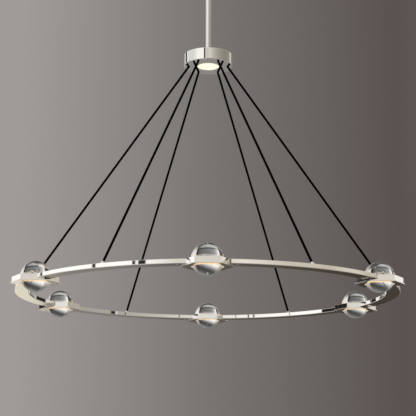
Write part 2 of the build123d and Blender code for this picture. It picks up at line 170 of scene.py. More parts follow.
def makeMesh(name, shells):
    verts, normals, faces, uvs = [], [], [], []
    for shell in shells:
        base = len(verts)
        verts += shell["verts"]
        normals += shell["normals"]
        faces += [[base + v for v in face] for face in shell["faces"]]
        uvs += shell.get("uv", [])
    mesh = bpy.data.meshes.new(name)
    mesh.from_pydata(verts, [], faces)
    if uvs:
        layer = mesh.uv_layers.new(name="UVMap")
        for loop, uv in zip(layer.data, uvs):
            loop.uv = uv
    mesh.polygons.foreach_set("use_smooth", [True] * len(faces))
    mesh.normals_split_custom_set_from_vertices(normals)
    mesh.update()
    return mesh


def finishPiece(piece, body, slot, *replaced):
    scene.collection.objects.link(piece)
    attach(piece, body)
    if replaced:
        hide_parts(*replaced)
    return piece


def makePiece(name, shells, material, body, slot, *replaced):
    piece = bpy.data.objects.new(name, makeMesh(name, shells))
    piece.data.materials.append(material)
    return finishPiece(piece, body, slot, *replaced)


# Node trees
def newGroup(name, kind, inputs, outputs):
    # an empty node group with its sockets
    tree = bpy.data.node_groups.new(name, kind)
    for way, sockets in (("INPUT", inputs), ("OUTPUT", outputs)):
        for socket, value in sockets.items():
            tree.interface.new_socket(socket, in_out=way, socket_type="NodeSocket" + value)
    return tree, tree.nodes.new("NodeGroupInput"), tree.nodes.new("NodeGroupOutput")


def mathNode(tree, operation, *values):
    # one step of arithmetic on numbers and sockets
    node = tree.nodes.new("ShaderNodeMath")
    node.operation = operation
    for socket, value in zip(node.inputs, values):
        if isinstance(value, float):
            socket.default_value = value
        else:
            tree.links.new(value, socket)
    return node.outputs[0]


def axisDistance(tree, space):
    # how far a point lies from the upright axis
    kinds = ("TexCoord", "VectorMath", "VectorMath")
    where, flat, length = [tree.nodes.new("ShaderNode" + kind) for kind in kinds]
    flat.operation, length.operation = "MULTIPLY", "LENGTH"
    flat.inputs[1].default_value = (1, 1, 0)
    tree.links.new(where.outputs[space], flat.inputs[0])
    tree.links.new(flat.outputs[0], length.inputs[0])
    return length.outputs["Value"]


def mixSockets(node):
    # the colour sockets of a Mix node
    node.data_type = "RGBA"
    return node.inputs[6], node.inputs[7], node.outputs[2]


# Geometry Nodes: the same unit set round a circle, as real faces with one material
def polarTree():
    tree, given, made = newGroup("polarRow", "GeometryNodeTree",
                                 {"Geometry": "Geometry", "Count": "Int", "Radius": "Float", "Start": "Float",
                                  "Material": "Material"},
                                 {"Geometry": "Geometry"})
    add, link, calc = tree.nodes.new, tree.links.new, partial(mathNode, tree)
    step = calc("DIVIDE", 2 * math.pi, given.outputs["Count"])
    index = add("GeometryNodeInputIndex").outputs[0]
    angle = calc("ADD", calc("MULTIPLY", index, step), given.outputs["Start"])
    place, turn = add("ShaderNodeCombineXYZ"), add("ShaderNodeCombineXYZ")
    link(calc("MULTIPLY", calc("COSINE", angle), given.outputs["Radius"]), place.inputs["X"])
    link(calc("MULTIPLY", calc("SINE", angle), given.outputs["Radius"]), place.inputs["Y"])
    link(angle, turn.inputs["Z"])
    points, spread = add("GeometryNodePoints"), add("GeometryNodeInstanceOnPoints")
    link(given.outputs["Count"], points.inputs["Count"])
    link(place.outputs[0], points.inputs["Position"])
    link(points.outputs[0], spread.inputs["Points"])
    link(given.outputs["Geometry"], spread.inputs["Instance"])
    link(turn.outputs[0], spread.inputs["Rotation"])
    real, paint = add("GeometryNodeRealizeInstances"), add("GeometryNodeSetMaterial")
    link(spread.outputs[0], real.inputs[0])
    link(real.outputs[0], paint.inputs["Geometry"])
    link(given.outputs["Material"], paint.inputs["Material"])
    link(paint.outputs[0], made.inputs["Geometry"])
    return tree


repeatGroup = polarTree()


def repeatPiece(name, shells, material, body, slot, *replaced, places):
    # places: how many, at which radius, and the angle of the first in degrees
    count, radius, start = places
    unit = bpy.data.objects.new(name + "Unit", makeMesh(name + "Unit", shells))
    scene.collection.objects.link(unit)
    rule = unit.modifiers.new("repeat", "NODES")
    rule.node_group = repeatGroup
    values = {"Count": count, "Radius": radius, "Start": math.radians(start), "Material": material}
    for item in repeatGroup.interface.items_tree:
        if item.item_type == "SOCKET" and item.in_out == "INPUT" and item.name in values:
            rule[item.identifier] = values[item.name]
    unit.update_tag()
    mesh = bpy.data.meshes.new_from_object(unit.evaluated_get(bpy.context.evaluated_depsgraph_get()))
    bpy.data.objects.remove(unit)
    mesh.name = name
    finishPiece(bpy.data.objects.new(name, mesh), body, slot, *replaced)


# Materials
def marksGroup():
    # soft smears and fine marks that every worked or moulded surface shows, each with its own amounts
    noise = {"smearDetail": 5.0, "smearDistortion": 0.6, "grainDetail": 3.0, "low": 0.3, "high": 0.7}
    tree, given, made = newGroup("surfaceMarks", "ShaderNodeTree",
                                 {"Low Color": "Color", "High Color": "Color", "Low Roughness": "Float",
                                  "High Roughness": "Float", "Smear Scale": "Float", "Grain Scale": "Float"},
                                 {"Color": "Color", "Roughness": "Float", "Height": "Float"})
    add, link = tree.nodes.new, tree.links.new
    where = add("ShaderNodeTexCoord")
    smear, grain = add("ShaderNodeTexNoise"), add("ShaderNodeTexNoise")
    smear.inputs["Detail"].default_value = noise["smearDetail"]
    smear.inputs["Distortion"].default_value = noise["smearDistortion"]
    grain.inputs["Detail"].default_value = noise["grainDetail"]
    for texture, scale in ((smear, "Smear Scale"), (grain, "Grain Scale")):
        link(where.outputs["Object"], texture.inputs["Vector"])
        link(given.outputs[scale], texture.inputs["Scale"])
    tone, spread = add("ShaderNodeMix"), add("ShaderNodeMapRange")
    lowTone, highTone, result = mixSockets(tone)
    link(smear.outputs["Fac"], tone.inputs["Factor"])
    link(given.outputs["Low Color"], lowTone)
    link(given.outputs["High Color"], highTone)
    link(result, made.inputs["Color"])
    spread.inputs["From Min"].default_value = noise["low"]
    spread.inputs["From Max"].default_value = noise["high"]
    link(smear.outputs["Fac"], spread.inputs["Value"])
    link(given.outputs["Low Roughness"], spread.inputs["To Min"])
    link(given.outputs["High Roughness"], spread.inputs["To Max"])
    link(spread.outputs["Result"], made.inputs["Roughness"])
    link(grain.outputs["Fac"], made.inputs["Height"])
    return tree


marks = marksGroup()
markDepth = 0.0001


def addRelief(tree, height, strength, depth):
    relief = tree.nodes.new("ShaderNodeBump")
    relief.inputs["Strength"].default_value = strength
    relief.inputs["Distance"].default_value = depth
    tree.links.new(height, relief.inputs["Height"])
    tree.links.new(relief.outputs["Normal"], tree.nodes["Principled BSDF"].inputs["Normal"])


def newMaterial(name, low, high, rough, smear, grain, bump=0.0, **plain):
    # a Principled material whose colour, roughness and relief come from the shared marks
    mat = bpy.data.materials.new(name)
    mat.use_nodes = True
    tree = mat.node_tree
    shader = tree.nodes["Principled BSDF"]
    group = tree.nodes.new("ShaderNodeGroup")
    group.node_tree = marks
    for socket, value in (("Low Color", (*low, 1)), ("High Color", (*high, 1)), ("Low Roughness", rough[0]),
                          ("High Roughness", rough[1]), ("Smear Scale", smear), ("Grain Scale", grain)):
        group.inputs[socket].default_value = value
    tree.links.new(group.outputs["Color"], shader.inputs["Base Color"])
    tree.links.new(group.outputs["Roughness"], shader.inputs["Roughness"])
    if bump:
        addRelief(tree, group.outputs["Height"], bump, markDepth)
    for socket, value in plain.items():
        shader.inputs[socket.replace("_", " ")].default_value = value
    return mat


def glowing(mat, centre, edge, reach, strength):
    # the light of a lit diffuser, fading from the lamp's axis outwards
    tree = mat.node_tree
    shader = tree.nodes["Principled BSDF"]
    fade, tone = tree.nodes.new("ShaderNodeMapRange"), tree.nodes.new("ShaderNodeMix")
    fade.inputs["From Max"].default_value = reach
    near, far, result = mixSockets(tone)
    near.default_value, far.default_value = (*centre, 1), (*edge, 1)
    tree.links.new(axisDistance(tree, "Object"), fade.inputs["Value"])
    tree.links.new(fade.outputs["Result"], tone.inputs["Factor"])
    tree.links.new(result, shader.inputs["Emission Color"])
    shader.inputs["Emission Strength"].default_value = strength


def braidMaterial():
    # two sets of strands wound opposite ways round the cord, over and under
    braid = {"strands": 8.0, "pitch": 0.0095, "strength": 0.8, "depth": 0.0004}
    mat = newMaterial("blackBraid", low=(0.010, 0.010, 0.010), high=(0.022, 0.021, 0.020), rough=(0.55, 0.75),
                      smear=60.0, grain=2500.0, Sheen_Weight=0.15, Sheen_Roughness=0.4)
    tree = mat.node_tree
    calc = partial(mathNode, tree)
    where, parts = tree.nodes.new("ShaderNodeUVMap"), tree.nodes.new("ShaderNodeSeparateXYZ")
    where.uv_map = "UVMap"
    tree.links.new(where.outputs["UV"], parts.inputs[0])
    turns = 2 * math.pi * braid["strands"]
    across = calc("MULTIPLY", parts.outputs["X"], turns)
    along = calc("MULTIPLY", parts.outputs["Y"], turns / 2 / braid["pitch"])
    right = calc("ABSOLUTE", calc("SINE", calc("ADD", across, along)))
    left = calc("ABSOLUTE", calc("SINE", calc("SUBTRACT", across, along)))
    addRelief(tree, calc("MAXIMUM", right, left), braid["strength"], braid["depth"])
    return mat


looks = {
    "polished_nickel": newMaterial("polishedNickel", low=(0.795, 0.77, 0.74), high=(0.84, 0.82, 0.795),
                                   rough=(0.03, 0.05), smear=9.0, grain=900.0, Metallic=1.0),
    "steel": newMaterial("zincPlate", low=(0.52, 0.53, 0.55), high=(0.66, 0.66, 0.66), rough=(0.24, 0.4),
                         smear=60.0, grain=1800.0, bump=0.25, Metallic=1.0),
    "earth_green": newMaterial("greenLacquer", low=(0.06, 0.30, 0.10), high=(0.09, 0.40, 0.15),
                               rough=(0.3, 0.45), smear=80.0, grain=1500.0, bump=0.2, Metallic=0.4),
    "crystal": newMaterial("clearCrystal", low=(0.975, 0.98, 0.975), high=(1.0, 1.0, 1.0), rough=(0.0, 0.0),
                           smear=14.0, grain=400.0, Transmission_Weight=1.0, IOR=1.53),
    "black_cord": braidMaterial(),
    "cable_sheath": newMaterial("whiteSheath", low=(0.76, 0.76, 0.74), high=(0.84, 0.84, 0.82),
                                rough=(0.45, 0.6), smear=50.0, grain=1200.0, bump=0.2),
    "warm_diffuser": newMaterial("frostedDiffuser", low=(0.92, 0.80, 0.58), high=(0.96, 0.86, 0.66),
                                 rough=(0.5, 0.62), smear=40.0, grain=2200.0, bump=0.2),
    "circuit_board": newMaterial("whiteBoard", low=(0.80, 0.81, 0.79), high=(0.88, 0.88, 0.85),
                                 rough=(0.3, 0.42), smear=35.0, grain=1600.0, bump=0.15),
    "lamp_aluminium": newMaterial("turnedAluminium", low=(0.66, 0.67, 0.68), high=(0.76, 0.76, 0.77),
                                  rough=(0.3, 0.42), smear=25.0, grain=1400.0, bump=0.3, Metallic=1.0),
    "nylon": newMaterial("nylon", low=(0.82, 0.81, 0.76), high=(0.89, 0.88, 0.83), rough=(0.4, 0.52),
                         smear=45.0, grain=1500.0, bump=0.2),
    "silicone": newMaterial("silicone", low=(0.72, 0.72, 0.70), high=(0.80, 0.80, 0.78), rough=(0.55, 0.7),
                            smear=50.0, grain=1300.0, bump=0.2),
    "driver_white": newMaterial("mouldedWhite", low=(0.80, 0.80, 0.78), high=(0.86, 0.86, 0.84),
                                rough=(0.42, 0.55), smear=30.0, grain=1100.0, bump=0.35),
    "terminal_ivory": newMaterial("mouldedIvory", low=(0.74, 0.70, 0.58), high=(0.82, 0.78, 0.66),
                                  rough=(0.42, 0.55), smear=30.0, grain=1100.0, bump=0.35),
}
for part in frame["record"]["subparts"]:
    mesh = nodes[part["node"]].data
    mesh.materials.clear()
    mesh.materials.append(looks[part["material_slot"]])
nickel, steel = looks["polished_nickel"], looks["steel"]
lamp = {"centre": (0.95, 0.94, 0.82), "edge": (0.88, 0.82, 0.62), "reach": 0.036, "strength": 0.8}
lensLook = newMaterial("litLens", low=(0.92, 0.88, 0.76), high=(0.96, 0.93, 0.84), rough=(0.45, 0.55),
                       smear=40.0, grain=2200.0, bump=0.15)
glowing(lensLook, **lamp)
# the light rings are the lamps; the silicone gaskets get the same warm glow as painted light, standing for
# the rings' light on them
warmLight = (1.0, 0.72, 0.38, 1)
lampAndPaintedGlow = {"warm_diffuser": 0.8, "silicone": 0.6}
for slot, strength in lampAndPaintedGlow.items():
    shader = looks[slot].node_tree.nodes["Principled BSDF"]
    shader.inputs["Emission Strength"].default_value = strength
    shader.inputs["Emission Color"].default_value = warmLight
print("materials ready:", len(looks) + 1)

# Crystal balls
crystal = {"radius": 0.046, "rings": 72, "segments": 112}
arc = [math.pi * (k / crystal["rings"] - 0.5) for k in range(crystal["rings"] + 1)]
ballNormals = [Vector((math.cos(a) if 0 < k < crystal["rings"] else 0.0, math.sin(a)))
               for k, a in enumerate(arc)]
ballShell = sweepSection([n * crystal["radius"] for n in ballNormals], ballNormals,
                         roundStations(crystal["segments"]))
ballSpots = []
for k in range(ring["count"]):
    a = math.radians(ring["ballStart"] + 360 / ring["count"] * k)
    ballSpots.append(Matrix.Translation(polar(ring["radius"], a, ring["ballZ"])) @ Matrix.Rotation(a, 4, "Z"))
    makePiece(f"crystalBall{k + 1}", [moved(ballShell, ballSpots[k])], looks["crystal"], f"crystal_{k + 1}",
              "crystal", f"crystal_{k + 1}")
print("crystals made")

# Collars and the trim rings under them
collar = {"bore": 0.0466, "flat": 0.061, "inner": 0.056, "hexFrom": 0.057, "top": -0.0015, "roof": -0.0035,
          "bottom": -0.0178, "edge": 0.0005, "crisp": 0.0003, "nook": 0.0006, "corner": 0.0008}
collarShell = hexPrism([
    (collar["inner"], collar["bottom"], collar["crisp"]), (collar["flat"], collar["bottom"], collar["crisp"]),
    (collar["flat"], collar["top"], collar["edge"]), (collar["bore"], collar["top"], collar["edge"]),
    (collar["bore"], collar["roof"], collar["crisp"]), (collar["inner"], collar["roof"], collar["nook"])],
    collar["hexFrom"], collar["corner"])
trim = {"bore": 0.0444, "flat": 0.0646, "hexFrom": 0.0464, "bottom": -0.021, "edge": 0.0008, "crisp": 0.0003,
        "corner": 0.0012}
trimShell = hexPrism([
    (trim["bore"], trim["bottom"], trim["edge"]), (trim["flat"], trim["bottom"], trim["edge"]),
    (trim["flat"], collar["bottom"], trim["edge"]), (trim["bore"], collar["bottom"], trim["crisp"])],
    trim["hexFrom"], trim["corner"])
for k, spot in enumerate(ballSpots, 1):
    makePiece(f"hexCollar{k}", [moved(collarShell, spot)], nickel, "fixture", "polished_nickel",
              f"collar_{k}")
    makePiece(f"hexTrim{k}", [moved(trimShell, spot)], nickel, "fixture", "polished_nickel",
              f"trim_ring_{k}")
print("collars made")

# Light rings and gaskets inside the collars
onBalls = (ring["count"], ring["radius"], ring["ballStart"])
atBalls = Matrix.Translation((0, 0, ring["ballZ"]))
glow = {"inner": 0.0469, "outer": 0.0489, "edge": 0.0003, "play": 0.00002}
glowLow, glowHigh = collar["bottom"] + glow["play"], collar["roof"] - glow["play"]
lightRing = revolve([(glow["inner"], glowLow, glow["edge"]), (glow["outer"], glowLow, glow["edge"]),
                     (glow["outer"], glowHigh, glow["edge"]), (glow["inner"], glowHigh, glow["edge"])])
repeatPiece("lightRings", [moved(lightRing, atBalls)], looks["warm_diffuser"], "fixture", "warm_diffuser",
            "light_rings", places=onBalls)
gasket = {"at": 0.0449, "height": -0.0164, "radius": 0.0013, "sides": 12, "segments": 96}
beadNormals = [side for reach, side in roundStations(gasket["sides"])]
bead = sweepSection([Vector((gasket["at"], gasket["height"])) + n * gasket["radius"] for n in beadNormals],
                    beadNormals, roundStations(gasket["segments"]))
repeatPiece("gaskets", [moved(bead, atBalls)], looks["silicone"], "fixture", "silicone", "gaskets",
            places=onBalls)
print("collar insides made")

# Curved bars, each point of the section ending on its collar's slanted faces
bar = {"width": 0.044, "upperEdge": 0.0008, "lowerEdge": 0.0016, "edgeSteps": 4, "gap": 0.0001,
       "stations": 72}
barLow, barHigh = ring["barTop"] - ring["barHeight"], ring["barTop"]
barIn, barOut = ring["radius"] - bar["width"] / 2, ring["radius"] + bar["width"] / 2
section, sectionNormals = roundSection([
    (barIn, barLow, bar["lowerEdge"]), (barOut, barLow, bar["lowerEdge"]),
    (barOut, barHigh, bar["upperEdge"]), (barIn, barHigh, bar["upperEdge"])], bar["edgeSteps"])
# points above and below the collar's corner, so that the coped end keeps its ridge
hexLean = math.pi / 6
collarFace = collar["flat"] + bar["gap"]
ridge = math.hypot(ring["radius"], collarFace / math.cos(hexLean))
perCorner = bar["edgeSteps"] + 1
for at, spot, normal in ((3 * perCorner, (ridge, barHigh), (0, 1)), (perCorner, (ridge, barLow), (0, -1))):
    section.insert(at, Vector(spot))
    sectionNormals.insert(at, Vector(normal))


def copeAngle(reach):
    # the angle from the ball at which a point of the bar meets the slanted face of the collar
    side = 1 if reach > ridge else -1
    return math.asin((collarFace + side * ring["radius"] * math.sin(hexLean)) / reach) - side * hexLean


copes = [copeAngle(p.x) for p in section]
barShell = {"verts": [], "normals": [], "faces": []}
for i in range(bar["stations"] + 1):
    for p, n, cope in zip(section, sectionNormals, copes):
        a = (math.pi / ring["count"] - cope) * (2 * i / bar["stations"] - 1)
        barShell["verts"].append(polar(p.x, a, p.y))
        barShell["normals"].append(polar(n.x, a, n.y))
girth = len(section)
for i in range(bar["stations"]):
    for j in range(girth):
        k = (j + 1) % girth
        barShell["faces"].append([i * girth + j, (i + 1) * girth + j, (i + 1) * girth + k, i * girth + k])
barShell["faces"].append(list(range(girth)))
barShell["faces"].append([bar["stations"] * girth + j for j in reversed(range(girth))])
cordTurns = [Matrix.Rotation(math.radians(ring["cordStart"] + 360 / ring["count"] * k), 4, "Z")
             for k in range(ring["count"])]
for k, turn in enumerate(cordTurns, 1):
    makePiece(f"curvedBar{k}", [moved(barShell, turn)], nickel, "fixture", "polished_nickel", f"bar_{k}")
onBars = (ring["count"], 0.0, ring["cordStart"])
print("bars made")

# Ferrules: a low upright stub on a round foot, and the leaning sleeve that grips the cord
ferrule = {"foot": 0.0072, "footHeight": 0.0012, "footEdge": 0.0005, "stub": 0.0061, "stubHeight": 0.0050,
           "stubIn": 0.0011, "stubEdge": 0.0007, "sleeve": 0.0048, "sleeveLow": 0.0034, "sleeveHigh": 0.0095,
           "sleeveEdge": 0.0006, "bore": 0.0038, "boreEdge": 0.0003, "crisp": 0.0002, "lift": 0.00001,
           "segments": 40}
footLow = ring["barTop"] + ferrule["lift"]
footHigh, stubHigh = ring["barTop"] + ferrule["footHeight"], ring["barTop"] + ferrule["stubHeight"]
foot = rod(ferrule["foot"], footLow, footHigh, ferrule["crisp"], ferrule["footEdge"], ferrule["segments"])
stub = rod(ferrule["stub"], footLow, stubHigh, ferrule["crisp"], ferrule["stubEdge"], ferrule["segments"])
sleeve = revolve([
    (ferrule["bore"], ferrule["sleeveLow"], ferrule["crisp"]),
    (ferrule["sleeve"], ferrule["sleeveLow"], ferrule["crisp"]),
    (ferrule["sleeve"], ferrule["sleeveHigh"], ferrule["sleeveEdge"]),
    (ferrule["bore"], ferrule["sleeveHigh"], ferrule["boreEdge"])], ferrule["segments"])
ferruleParts = [moved(foot, Matrix.Translation((ring["radius"], 0, 0))),
                moved(stub, Matrix.Translation((ring["radius"] - ferrule["stubIn"], 0, 0))),
                moved(sleeve, alongAxis(cordLow, cordAim))]
repeatPiece("ferrules", ferruleParts, nickel, "fixture", "polished_nickel", "cord_ferrules", places=onBars)
print("ferrules made")

# Cords: straight and taut from the ferrules into the hub
cord = {"diameter": 0.0074, "sides": 24, "start": 0.0035, "inHub": 0.015, "near": 6, "order": 3,
        "between": 12}
cordEnd = cordHigh + cordAim * cord["inHub"]
cordBegin = cordLow + cordAim * cord["start"]


def splinePoints(points):
    curve = bpy.data.curves.new("route", "CURVE")
    curve.dimensions = "3D"
    line = curve.splines.new("NURBS")
    line.points.add(len(points) - 1)
    for spot, p in zip(line.points, points):
        spot.co = (*p, 1)
    line.order_u = cord["order"]
    line.use_endpoint_u = True
    line.resolution_u = cord["between"]
    guide = bpy.data.objects.new("route", curve)
    scene.collection.objects.link(guide)
    mesh = bpy.data.meshes.new_from_object(guide.evaluated_get(bpy.context.evaluated_depsgraph_get()))
    found = [v.co.copy() for v in mesh.vertices]
    bpy.data.objects.remove(guide)
    bpy.data.meshes.remove(mesh)
    return found


def tube(points, radius, sides):
    shell = {"verts": [], "normals": [], "faces": [], "uv": []}
    side = (points[1] - points[0]).cross(Vector((0, 0, 1))).normalized()
    lengths = [0.0]
    for a, b in zip(points, points[1:]):
        lengths.append(lengths[-1] + (b - a).length)
    for i, p in enumerate(points):
        aim = (points[min(i + 1, len(points) - 1)] - points[max(i - 1, 0)]).normalized()
        up = side.cross(aim).normalized()
        for j in range(sides):
            a = 2 * math.pi * j / sides
            normal = side * math.cos(a) + up * math.sin(a)
            shell["verts"].append(p + normal * radius)
            shell["normals"].append(normal)
    for i in range(len(points) - 1):
        for j in range(sides):
            k = (j + 1) % sides
            shell["faces"].append([i * sides + j, i * sides + k, (i + 1) * sides + k, (i + 1) * sides + j])
            u0, u1 = j / sides, (j + 1) / sides
            shell["uv"] += [(u0, lengths[i]), (u1, lengths[i]), (u1, lengths[i + 1]), (u0, lengths[i + 1])]
    for base, order in ((0, reversed(range(sides))), ((len(points) - 1) * sides, range(sides))):
        shell["faces"].append([base + j for j in order])
        shell["uv"] += [(j / sides, 0) for j in range(sides)]
    return shell


for k, turn in enumerate(cordTurns, 1):
    near = cord["diameter"] * cord["near"]
    route = [turn @ p for p in (cordBegin, cordBegin + cordAim * near, cordEnd - cordAim * near, cordEnd)]
    line = splinePoints(route)
    piece = makePiece(f"tautCord{k}", [tube(line, cord["diameter"] / 2, cord["sides"])], looks["black_cord"],
                      "fixture", "black_cord", f"cord_{k}")
    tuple(route[0])
print("cords made")

# Screw heads with a hexagon socket, under the bars, the trim rings and the hub
headForm = {"sides": 24, "crown": 0.6, "crownSteps": 3, "rim": 0.0001, "flare": 1.12,
            "socketWall": (-0.9, -0.4)}


def screwHead(screw, z):
    sides, rim, wall, down = headForm["sides"], headForm["rim"], headForm["socketWall"], (0, -1)
    outer, normals = roundSection([(0, 0, 0.0), (screw["head"], 0, screw["height"] * headForm["crown"]),
                                   (screw["head"], screw["height"], rim), (0, screw["height"], 0.0)],
                                  headForm["crownSteps"])
    shell = {"verts": [], "normals": [], "faces": []}
    rows = []

    def row(r, h, hexagon, normal):
        rows.append(len(shell["verts"]))
        for j in range(sides):
            a = 2 * math.pi * j / sides
            reach = r
            if hexagon:
                reach = r * math.cos(math.pi / 6) / math.cos((a % (math.pi / 3)) - math.pi / 6)
            shell["verts"].append(polar(reach, a, z + h))
            shell["normals"].append(polar(normal[0], a, normal[1]))

    row(screw["socket"], screw["depth"], True, down)
    row(screw["socket"], screw["depth"] - rim, True, wall)
    row(screw["socket"], rim, True, wall)
    row(screw["socket"] * headForm["flare"], 0.0, False, down)
    for p, n in list(zip(outer, normals))[1:-1]:
        row(p.x, p.y, False, (n.x, n.y))
    for a, b in zip(rows, rows[1:]):
        for j in range(sides):
            k = (j + 1) % sides
            shell["faces"].append([a + j, a + k, b + k, b + j])
    shell["faces"].append([rows[0] + j for j in reversed(range(sides))])
    shell["faces"].append([rows[-1] + j for j in range(sides)])
    return shell


barScrew = {"head": 0.0038, "height": 0.001, "socket": 0.0015, "depth": 0.0009, "proud": 0.0005,
            "fromBall": 0.08244}
barScrewTurn = math.pi / ring["count"] - barScrew["fromBall"] / ring["radius"]
barHead = screwHead(barScrew, barLow - barScrew["proud"])
barSpots = [polar(ring["radius"], a, 0) for a in (barScrewTurn, -barScrewTurn)]
repeatPiece("barScrewHeads", [moved(barHead, Matrix.Translation(spot)) for spot in barSpots],
            steel, "fixture", "steel", "bar_screws", places=onBars)
trimScrew = {"head": 0.0028, "height": 0.0008, "socket": 0.0011, "depth": 0.0007, "proud": 0.0003,
             "at": 0.06322, "turns": (30, 150, 210, 330)}
trimHead = screwHead(trimScrew, ring["ballZ"] + trim["bottom"] - trimScrew["proud"])
trimSpots = [polar(trimScrew["at"], math.radians(turn), 0) for turn in trimScrew["turns"]]
repeatPiece("trimScrewHeads", [moved(trimHead, Matrix.Translation(spot)) for spot in trimSpots],
            steel, "fixture", "steel", "trim_screws", places=onBalls)
hubScrew = {"head": 0.003, "height": 0.0008, "socket": 0.0013, "depth": 0.0007, "proud": 0.0003, "at": 0.066,
            "count": 3}
repeatPiece("hubScrewHeads", [screwHead(hubScrew, ring["plateZ"] - hubScrew["proud"])], steel, "fixture",
            "steel", "hub_screws", places=(hubScrew["count"], hubScrew["at"], ring["ballStart"]))
print("screws made")

# Hub: drum, polished underside and lit lens
hub = {"radius": 0.0805, "wall": 0.0022, "roof": 0.003, "neck": 0.0051, "lowEdge": 0.002, "topEdge": 0.0012,
       "nook": 0.0006, "crisp": 0.0002, "plate": 0.003, "plateGap": 0.0001, "plateEdge": 0.0004,
       "lens": 0.0354, "lensGap": 0.0003, "lensEdge": 0.0005, "lip": 0.039, "lipLift": 0.00002,
       "lipEdge": 0.0003, "lensTop": 0.0045, "segments": 160}
hubBottom, hubInner, hubRoof = ring["plateZ"], hub["radius"] - hub["wall"], ring["hubTop"] - hub["roof"]
plateIn, plateOut = hub["lens"] + hub["lensGap"], hubInner - hub["plateGap"]
plateTop, lensTop = hubBottom + hub["plate"], hubBottom + hub["lensTop"]
makePiece("hubDrum", [revolve([
    (hubInner, hubBottom, hub["crisp"]), (hub["radius"], hubBottom, hub["lowEdge"]),
    (hub["radius"], ring["hubTop"], hub["topEdge"]), (hub["neck"], ring["hubTop"], hub["crisp"]),
    (hub["neck"], hubRoof, hub["crisp"]), (hubInner, hubRoof, hub["nook"])], hub["segments"])],
    nickel, "fixture", "polished_nickel", "hub_cap")
makePiece("hubUnderside", [revolve([
    (plateIn, hubBottom, hub["plateEdge"]), (plateOut, hubBottom, hub["crisp"]),
    (plateOut, plateTop, hub["crisp"]), (plateIn, plateTop, hub["crisp"])], hub["segments"])],
    nickel, "fixture", "polished_nickel", "hub_plate")
makePiece("hubLens", [revolve([
    (0, hubBottom, 0.0), (hub["lens"], hubBottom, hub["lensEdge"]), (hub["lens"], plateTop, hub["lipEdge"]),
    (hub["lip"], plateTop + hub["lipLift"], hub["crisp"]), (hub["lip"], lensTop, hub["lipEdge"]),
    (0, lensTop, 0.0)])], lensLook, "fixture", "warm_diffuser", "lamp_lens")
print("hub made")

# Stem and the hang-straight ball at its top
stem = {"radius": 0.009, "top": -0.052, "edge": 0.0006, "lift": 0.00001, "segments": 64}
makePiece("stemTube", [rod(stem["radius"], ring["hubTop"] + stem["lift"], stem["top"], stem["edge"],
                           stem["edge"], stem["segments"])], nickel, "fixture", "polished_nickel", "stem")
swivel = {"radius": 0.015, "z": -0.032, "cut": 0.010, "cutRim": 0.0107, "neck": 0.005, "neckDrop": 0.0146,
          "neckIn": 0.0005, "bore": 0.0035, "ease": 0.02, "steps": 28, "segments": 64}
roundFrom = -math.acos(swivel["neck"] / swivel["radius"]) + swivel["ease"]
roundTo = math.asin(swivel["cut"] / swivel["radius"]) - swivel["ease"]
neckLow, swivelTop = stem["top"] - swivel["neckIn"], swivel["z"] + swivel["cut"]
swivelPoints = [(swivel["bore"], neckLow), (swivel["neck"], neckLow),
                (swivel["neck"], swivel["z"] - swivel["neckDrop"])]
swivelNormals = [(0, -1), (1, 0), (1, 0)]
for k in range(swivel["steps"] + 1):
    a = roundFrom + (roundTo - roundFrom) * k / swivel["steps"]
    swivelPoints.append((swivel["radius"] * math.cos(a), swivel["z"] + swivel["radius"] * math.sin(a)))
    swivelNormals.append((math.cos(a), math.sin(a)))
swivelPoints += [(swivel["cutRim"], swivelTop), (swivel["bore"], swivelTop)]
swivelNormals += [(0, 1), (0, 1)]
makePiece("swivelBall", [sweepSection([Vector(p) for p in swivelPoints], [Vector(n) for n in swivelNormals],
                                      roundStations(swivel["segments"]))],
          nickel, "fixture", "polished_nickel", "swivel_ball")

# Canopy cup against the ceiling, and the two domed nuts under it
canopy = {"radius": 0.076, "height": 0.045, "wall": 0.002, "floor": 0.003, "hole": 0.0135, "edge": 0.007,
          "lip": 0.0004, "nook": 0.0006, "segments": 160, "steps": 6}
canopyLow, innerSide = -canopy["height"], canopy["radius"] - canopy["wall"]
innerFloor = canopy["floor"] - canopy["height"]
makePiece("canopyCup", [revolve([
    (canopy["hole"], canopyLow, canopy["lip"]), (canopy["radius"], canopyLow, canopy["edge"]),
    (canopy["radius"], 0.0, canopy["lip"]), (innerSide, 0.0, canopy["lip"]),
    (innerSide, innerFloor, canopy["nook"]), (canopy["hole"], innerFloor, canopy["lip"])],
    canopy["segments"], canopy["steps"])], nickel, "ceiling", "polished_nickel", "canopy")
capNut = {"flange": 0.0065, "flangeHeight": 0.0022, "flangeEdge": 0.0005, "seatEdge": 0.0002, "dome": 0.0055,
          "domeEdge": 0.0045, "height": 0.009, "neck": 0.0003, "gap": 0.00001, "at": 0.057, "count": 2,
          "segments": 40, "steps": 6}
nutTop, nutLow = canopyLow - capNut["gap"], canopyLow - capNut["height"]
nutFlange = canopyLow - capNut["flangeHeight"]
repeatPiece("domedNuts", [revolve([
    (0, nutLow, 0.0), (capNut["dome"], nutLow, capNut["domeEdge"]),
    (capNut["dome"], nutFlange, capNut["neck"]), (capNut["flange"], nutFlange, capNut["flangeEdge"]),
    (capNut["flange"], nutTop, capNut["seatEdge"]), (0, nutTop, 0.0)],
    capNut["segments"], capNut["steps"])], nickel, "ceiling", "polished_nickel", "cap_nuts",
    places=(capNut["count"], capNut["at"], 0.0))
print("stem and canopy made")

# Floor: a pale disc, soft at its rim and open from below
ground = {"z": -2.6, "radius": 2.6, "sides": 96, "fadeFrom": 1.3, "fadeTo": 2.5}
floorMesh = bpy.data.meshes.new("floor")
floorMesh.from_pydata([(ground["radius"] * side.x, ground["radius"] * side.y, ground["z"])
                       for reach, side in roundStations(ground["sides"])], [], [list(range(ground["sides"]))])
floor = bpy.data.objects.new("floor", floorMesh)
floorLook = newMaterial("paleFloor", low=(0.78, 0.77, 0.75), high=(0.82, 0.81, 0.79), rough=(0.6, 0.7),
                        smear=1.5, grain=60.0)
floorMesh.materials.append(floorLook)


